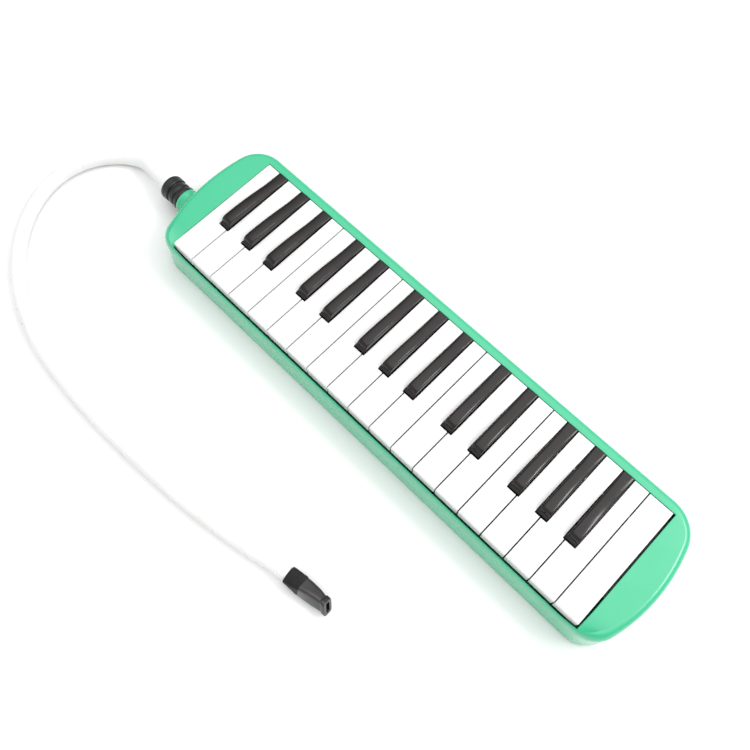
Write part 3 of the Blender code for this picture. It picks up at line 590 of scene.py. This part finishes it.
def case_top(material):
    """Shell of the case: its outside from the parting line to the opening, then its inside and back."""
    base = case_outline(0.0)
    low = PARTING_Z + PARTING_GAP
    rings = [[(x, y, low) for x, y in case_outline(LOW_BEVEL)], [(x, y, low + LOW_BEVEL) for x, y in base]]
    rings.append([(x, y, WALL_BREAK) for x, y in case_outline(WALL_DRAFT / 2)])
    rings += edge_rings(base, 0.0, ROUND_STEPS)
    for angle in (0.0, 30.0, 60.0, 90.0):
        turn = math.radians(angle)
        outward = LIP_ROUND * (1 - math.sin(turn))
        rings.append(opening_ring(base, outward, LIP_ROUND * (1 - math.cos(turn))))
    rings.append(opening_ring(base, 0.0, CASE_WALL))
    rings += reversed(edge_rings(base, CASE_WALL, 3))
    rings.append([(x, y, WALL_BREAK) for x, y in case_outline(WALL_DRAFT / 2 + CASE_WALL)])
    rings.append([(x, y, low) for x, y in case_outline(CASE_WALL)])
    rings.append(rings[0])
    mesh = shaded(skinned(rings, capped=False))
    piece("case_top", mesh, [material], "case", "case_plastic", "upper_case")


# Keys.

def black_centre(boundary):
    return boundary * KEY_PITCH + BLACK_OFFSETS[boundary]


def front_limits(index):
    """Left and right limits of a white key in front of the black keys."""
    trim = LAST_KEY_TRIM if index == WHITE_COUNT - 1 else 0.0
    return index * KEY_PITCH + KEY_GAP / 2, (index + 1) * KEY_PITCH - KEY_GAP / 2 - trim


def tail_limits(index):
    """Left and right limits of a white key behind the black key fronts."""
    left, right = front_limits(index)
    if index in BLACK_OFFSETS:
        left = black_centre(index) + BLACK_WIDTH / 2 + NOTCH_GAP
    if index + 1 in BLACK_OFFSETS:
        right = black_centre(index + 1) - BLACK_WIDTH / 2 - NOTCH_GAP
    return left, right


def with_lever(mesh, centre, front):
    """Key with the web and pallet that hang behind it."""
    arc = [(PIVOT_DEPTH + ROD_SLOT * math.cos(turn), PIVOT_Z + ROD_SLOT * math.sin(turn))
           for turn in [math.pi * step / 12 for step in range(13)]]
    profile = [
        (front, LEVER_BOTTOM), (front, LEVER_TOP), (LEVER_STEP, LEVER_TOP), (LEVER_STEP, 33.0),
        (LEVER_BACK, 33.0), (LEVER_BACK, PALLET_TOP - 1.0), (PALLET_FRONT + 2.0, PALLET_TOP - 1.0),
        (PALLET_FRONT - 6.0, CLIP_BOTTOM), (PIVOT_DEPTH + ROD_SLOT, CLIP_BOTTOM), *arc,
        (PIVOT_DEPTH - ROD_SLOT, CLIP_BOTTOM), (PIVOT_DEPTH - 9.0, LEVER_BOTTOM),
    ]
    half = LEVER_WIDTH / 2
    web = raised([(centre - half, y, z) for y, z in profile], (LEVER_WIDTH, 0.0, 0.0))
    mesh = fused(mesh, web)
    half = PALLET_WIDTH / 2
    pallet = boxes([(centre - half, centre + half, PALLET_FRONT, PALLET_BACK, PALLET_BOTTOM, PALLET_TOP)])
    return fused(mesh, pallet)


def white_key(index):
    """White key with a rolled front edge and softened edges."""
    left, right = front_limits(index)
    tail_left, tail_right = tail_limits(index)
    notch = BLACK_FRONT - NOTCH_FRONT_GAP
    outline = [(left, -FRONT_ROUND), (right, -FRONT_ROUND)]
    if tail_right < right - 0.1:
        outline += [(right, notch), (tail_right, notch)]
    outline += [(tail_right, KEY_LENGTH), (tail_left, KEY_LENGTH)]
    if tail_left > left + 0.1:
        outline += [(tail_left, notch), (left, notch)]
    block = raised([(x, y, SKIRT_BOTTOM) for x, y in outline], (0.0, 0.0, WHITE_TOP - SKIRT_BOTTOM))
    shape = bmesh.new()
    shape.from_mesh(block)
    top = WHITE_TOP * MM - WELD
    front = WELD - FRONT_ROUND * MM
    lip = [edge for edge in shape.edges if all(end.co.z > top and end.co.y < front for end in edge.verts)]
    bmesh.ops.bevel(shape, geom=lip, offset=FRONT_ROUND * MM, segments=8, profile=0.5, affect="EDGES")
    body = bevelled(finished(shape), EDGE_ROUND, 3)
    wall_back = SKIRT_DEPTH - 2 * SKIRT_WALL
    pocket = (left + SKIRT_WALL, right - SKIRT_WALL, SKIRT_WALL - FRONT_ROUND, wall_back,
              SKIRT_BOTTOM - 1.0, PLATE_BOTTOM)
    under_tail = (left - 1.0, right + 1.0, wall_back + SKIRT_WALL, KEY_LENGTH + 1.0,
                  SKIRT_BOTTOM - 1.0, PLATE_BOTTOM)
    body = cut(body, boxes([pocket, under_tail]))
    return with_lever(body, (tail_left + tail_right) / 2, wall_back + SKIRT_WALL / 2)


def smooth_line(points, steps):
    """Catmull-Rom curve through points, with so many steps between neighbours."""
    points = [Vector(point) for point in points]
    ends = [2 * points[0] - points[1], *points, 2 * points[-1] - points[-2]]
    line = []
    for index in range(1, len(ends) - 2):
        before, start, end, after = ends[index - 1:index + 3]
        for step in range(steps):
            t = step / steps
            line.append(0.5 * (2 * start + (end - before) * t
                               + (2 * before - 5 * start + 4 * end - after) * t ** 2
                               + (3 * start - before - 3 * end + after) * t ** 3))
    return line + [points[-1]]


def black_top():
    """Right half of the top of a black key from its edge to its middle: distance and drop."""
    half = [(0.0, 0.0)]
    for (near, first), (far, second) in zip(BLACK_TILTS, BLACK_TILTS[1:]):
        for step in range(3):
            tilt = math.radians(first + (second - first) * (step + 0.5) / 3)
            width = (far - near) / 3
            half.append((half[-1][0] + width, half[-1][1] + width * math.tan(tilt)))
    return list(reversed(half))


def black_key():
    """Black key with a foot in front, an arched back and a crown across it."""
    base = BLACK_WIDTH / 2
    crown = black_top()
    reach, fall = crown[0]
    stations = [*BLACK_FOOT, *smooth_line(BLACK_BACK, 4)]
    rings = []
    for along, rise in stations:
        wide = (base - SIDE_DRAFT * rise) / reach
        tall = min(1.0, rise * 0.6 / fall)
        half = [(base - 0.25, BLACK_BOTTOM), (base, BLACK_BOTTOM + 0.4), (base, WHITE_TOP)]
        half += [(across * wide, WHITE_TOP + rise - drop * tall) for across, drop in crown]
        ring = half + [(-x, z) for x, z in reversed(half[:-1])]
        rings.append([(x, BLACK_FRONT + along, z) for x, z in ring])
    return with_lever(skinned(rings, capped=True), 0.0, BLACK_FRONT + 27.0)


def key_pieces(name, mesh, x, material, slot):
    """Copy of a key at its place on the keyboard."""
    own = mesh.copy()
    own.transform(Matrix.Translation(Vector((x, KEY_FRONT, 0.0)) * MM))
    piece(name.replace("_key_", "_top_"), shaded(own), [material], name, slot, name)


def keys(white, black):
    left_end = -WHITE_COUNT * KEY_PITCH / 2
    for index in range(WHITE_COUNT):
        key_pieces(f"white_key_{index + 1:02d}", white_key(index), left_end, white, "white_keys")
    shape = black_key()
    for number, boundary in enumerate(sorted(BLACK_OFFSETS), 1):
        key_pieces(f"black_key_{number:02d}", shape, left_end + black_centre(boundary), black, "black_keys")


# Neck, plug, hose and mouthpiece.

def neck(material):
    """Short neck with a collar round its mouth and a flare where it meets the case."""
    profile = [
        (-226.5, 6.3), (-226.5, 9.5), (-226.1, 10.1), (-223.6, 10.1), (-223.1, 9.4), (-219.0, 9.4),
        (-215.2, 10.1), (-212.0, 10.2), (-212.0, 6.3),
    ]
    mesh = shaded(turned_on_neck(softened(profile, 2)))
    piece("neck", mesh, [material], "case", "case_plastic", "blow_socket")


def plug(material):
    """Plug with a thick head and two rings behind it."""
    profile = [
        (-245.0, BORE_RADIUS), (-245.0, 9.0), (-244.4, 9.8), (-242.2, 10.15), (-240.6, 9.85), (-238.6, 10.0),
        (-237.9, 9.6), (-237.5, 8.5), (-236.7, 8.5), (-236.3, 9.4), (-234.2, 9.65), (-232.0, 9.5),
        (-231.6, 8.6), (-230.9, 8.6), (-230.4, 9.6), (-229.0, 9.9), (-227.4, 9.9), (-226.8, 9.4),
        (-226.8, 5.9), (-211.9, 5.7), (-211.9, BORE_RADIUS),
    ]
    mesh = shaded(turned_on_neck(softened(profile, 3)), 60.0)
    piece("plug", mesh, [material], "case", "connector_plastic", "hose_connector")


def cuff(distance):
    """How much wider the hose is near the plug."""
    return CUFF_SWELL * (1 - eased(distance / CUFF_LENGTH))


def creases(distance):
    """Shallow rings pressed into the hose near an end."""
    return sum(CREASE_DEPTH * math.exp(-((distance - place) / 0.35) ** 2) for place in CREASE_PLACES)


def hose(material):
    line = smooth_line(HOSE_ROUTE, 50)
    lengths = [0.0]
    for first, second in zip(line, line[1:]):
        lengths.append(lengths[-1] + (second - first).length)
    total = lengths[-1]
    kept = [index for index, length in enumerate(lengths)
            if min(length, total - length) < 18.0 or index % 5 == 0]
    curve = bpy.data.curves.new("hose_tube", "CURVE")
    curve.dimensions = "3D"
    curve.bevel_depth = HOSE_DIAMETER / 2 * MM
    curve.bevel_resolution = 10
    curve.use_fill_caps = True
    spline = curve.splines.new("POLY")
    spline.points.add(len(kept) - 1)
    for point, index in zip(spline.points, kept):
        distance = lengths[index]
        point.co = (*(line[index] * MM), 1.0)
        point.radius = 1 + cuff(distance) - creases(distance) - creases(total - distance)
    spline.use_smooth = True
    curve.materials.append(material)
    item = bpy.data.objects.new("hose_tube", curve)
    bpy.context.scene.collection.objects.link(item)
    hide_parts("hose")
    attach(item, "case")


def squared(half_wide, half_tall, power, steps=72):
    """Superellipse, from round at power 2 to nearly square at power 6."""
    section = []
    for step in range(steps):
        angle = 2 * math.pi * (step + 0.5) / steps
        across = math.copysign(abs(math.cos(angle)) ** (2 / power), math.cos(angle))
        upward = math.copysign(abs(math.sin(angle)) ** (2 / power), math.sin(angle))
        section.append((half_wide * across, half_tall * upward))
    return section


def along_mouthpiece(sections):
    """Solid along the mouthpiece. Each section is distance, half width, half height, power and roll."""
    start = Vector(MOUTHPIECE_START)
    along = (Vector(MOUTHPIECE_END) - start).normalized()
    side = Vector((0, 0, 1)).cross(along).normalized()
    up = along.cross(side)
    rings = []
    for distance, wide, tall, power, share in sections:
        turn = math.radians(MOUTHPIECE_ROLL * share)
        across = side * math.cos(turn) - up * math.sin(turn)
        upward = side * math.sin(turn) + up * math.cos(turn)
        slant = LIP_LEAN * eased((distance - 22.0) / 8.0)
        rings.append([start + along * (distance - slant * w) + across * v + upward * w
                      for v, w in squared(wide, tall, power)])
    return skinned(rings, capped=True)


def mouthpiece(blade, collar):
    outside = [
        (0.0, 5.9, 5.9, 4.5, 0.0), (0.15, 6.15, 6.15, 5.0, 0.0), (0.5, 6.35, 6.35, 5.0, 0.0),
        (6.0, 6.3, 6.35, 5.0, 0.2), (11.2, 6.0, 6.5, 5.0, 0.55), (11.8, 5.75, 6.35, 5.0, 0.6),
        (12.0, 5.6, 6.2, 5.0, 0.62), (16.0, 5.3, 6.2, 5.0, 0.8), (20.0, 4.85, 6.15, 5.0, 0.92),
        (24.0, 4.35, 5.9, 5.0, 1.0), (27.0, 3.9, 5.6, 5.0, 1.0), (29.6, 3.6, 5.3, 5.0, 1.0),
        (29.9, 3.75, 5.4, 5.0, 1.0), (30.3, 4.05, 5.6, 5.0, 1.0), (30.7, 4.15, 5.7, 5.0, 1.0),
        (32.8, 4.15, 5.7, 5.0, 1.0), (33.2, 4.0, 5.55, 5.0, 1.0), (33.4, 3.7, 5.3, 5.0, 1.0),
    ]
    passage = [
        (-1.0, 3.2, 3.2, 2.0, 0.0), (8.0, 3.2, 3.2, 2.0, 0.3), (21.0, 2.1, 4.2, 3.0, 1.0),
        (28.0, 1.7, 4.0, 5.0, 1.0), (36.0, 1.7, 4.0, 5.0, 1.0),
    ]
    mesh = shaded(cut(along_mouthpiece(outside), along_mouthpiece(passage)), 28.0)
    item = piece("mouthpiece_blade", mesh, [blade, collar], "case", "mouthpiece_plastic", "mouthpiece")
    start = Vector(MOUTHPIECE_START)
    along = (Vector(MOUTHPIECE_END) - start).normalized()
    for face in item.data.polygons:
        if (face.center / MM - start).dot(along) < COLLAR_LENGTH:
            face.material_index = 1


# Studio.

def camera():
    data = bpy.data.cameras.new("camera")
    data.lens = 38.08
    data.sensor_width = 36.0
    data.clip_start = 0.01
    item = bpy.data.objects.new("camera", data)
    item.location = (0.12488, -0.15512, 0.54123)
    item.rotation_euler = [math.radians(angle) for angle in (20.911, 0.431, 44.591)]
    bpy.context.scene.collection.objects.link(item)
    bpy.context.scene.camera = item


def strip_light():
    """Long narrow light on the right, which draws thin bright lines along rounded edges."""
    data = bpy.data.lights.new("strip_light", "AREA")
    data.shape = "RECTANGLE"
    data.size = 0.70
    data.size_y = 0.16
    data.energy = 5.5
    centre = Vector(STRIP_CENTRE)
    along = Vector(STRIP_LINE).normalized()
    back = (centre - Vector(STRIP_AIM)).normalized()
    across = back.cross(along).normalized()
    turned = Matrix((along, across, along.cross(across))).transposed()
    item = bpy.data.objects.new("strip_light", data)
    item.matrix_world = Matrix.LocRotScale(centre, turned.to_quaternion(), None)
    bpy.context.scene.collection.objects.link(item)


def sky_lobe(tree, place, direction, edge, low, high):
    """Smooth patch of light: low from edge degrees off its direction outwards, high at its core."""
    toward = tree.nodes.new("ShaderNodeVectorMath")
    toward.operation = "DOT_PRODUCT"
    toward.inputs[1].default_value = Vector(direction).normalized()
    spread = tree.nodes.new("ShaderNodeMapRange")
    spread.interpolation_type = "SMOOTHSTEP"
    spread.inputs["From Min"].default_value = math.cos(math.radians(edge))
    spread.inputs["From Max"].default_value = math.cos(math.radians(LOBE_CORE))
    spread.inputs["To Min"].default_value = low
    spread.inputs["To Max"].default_value = high
    tree.links.new(place.outputs["Generated"], toward.inputs[0])
    tree.links.new(toward.outputs["Value"], spread.inputs["Value"])
    return spread.outputs["Result"]


def sky():
    """Light tent: bright overhead and in front of the keys, and pale where the camera sees it."""
    world = bpy.data.worlds.new("studio")
    world.use_nodes = True
    tree = world.node_tree
    background = tree.nodes["Background"]
    place = tree.nodes.new("ShaderNodeTexCoord")
    total = tree.nodes.new("ShaderNodeMath")
    total.operation = "ADD"
    tree.links.new(sky_lobe(tree, place, OVERHEAD, 60, 0.36, 2.1), total.inputs[0])
    tree.links.new(sky_lobe(tree, place, IN_FRONT, 65, 0.0, 0.5), total.inputs[1])
    path = tree.nodes.new("ShaderNodeLightPath")
    seen = tree.nodes.new("ShaderNodeMix")
    seen.data_type = "FLOAT"
    tree.links.new(path.outputs["Is Camera Ray"], seen.inputs[0])
    tree.links.new(total.outputs[0], seen.inputs[2])
    seen.inputs[3].default_value = SEEN_SKY
    tree.links.new(seen.outputs[0], background.inputs["Strength"])
    background.inputs["Color"].default_value = (1.0, 1.0, 1.0, 1.0)
    bpy.context.scene.world = world


def floor():
    """Pale floor just under the case."""
    surface = Surface("floor_paint")
    surface.colour((0.905, 0.905, 0.905), (0.915, 0.915, 0.915), 300.0)
    surface.roughness(0.6, 0.7, 60.0)
    reach = FLOOR_REACH
    low = FLOOR_TOP - FLOOR_THICKNESS
    corners = [(-reach, -reach, low), (reach, -reach, low), (reach, reach, low), (-reach, reach, low)]
    mesh = raised(corners, (0.0, 0.0, FLOOR_THICKNESS))
    mesh.materials.append(surface.material)
    item = bpy.data.objects.new("floor", mesh)
    bpy.context.scene.collection.objects.link(item)


mint = mint_plastic()
steel = plated_steel()
chamber = chamber_plastic()
seal = seal_rubber()
blade = blade_plastic()
dress_hidden_nodes((
    ("lower_case", mint), ("reed_chamber", chamber), ("chamber_cover", chamber), ("chamber_gasket", seal),
    ("socket_seal", seal), ("drain_seal", seal), ("drain_button", blade), ("front_felt", stop_felt()),
    ("middle_felt", stop_felt()), ("reed_plate", reed_metal()), ("key_rod", steel), ("drain_spring", steel),
    ("case_screw", steel), ("chamber_screw", steel),
))
case_top(mint)
keys(white_plastic(), black_plastic())
neck(mint)
plug(plug_rubber())
mouthpiece(blade, collar_plastic())
hose(hose_vinyl())
camera()
floor()
sky()
strip_light()
bpy.context.scene.view_settings.view_transform = "Standard"
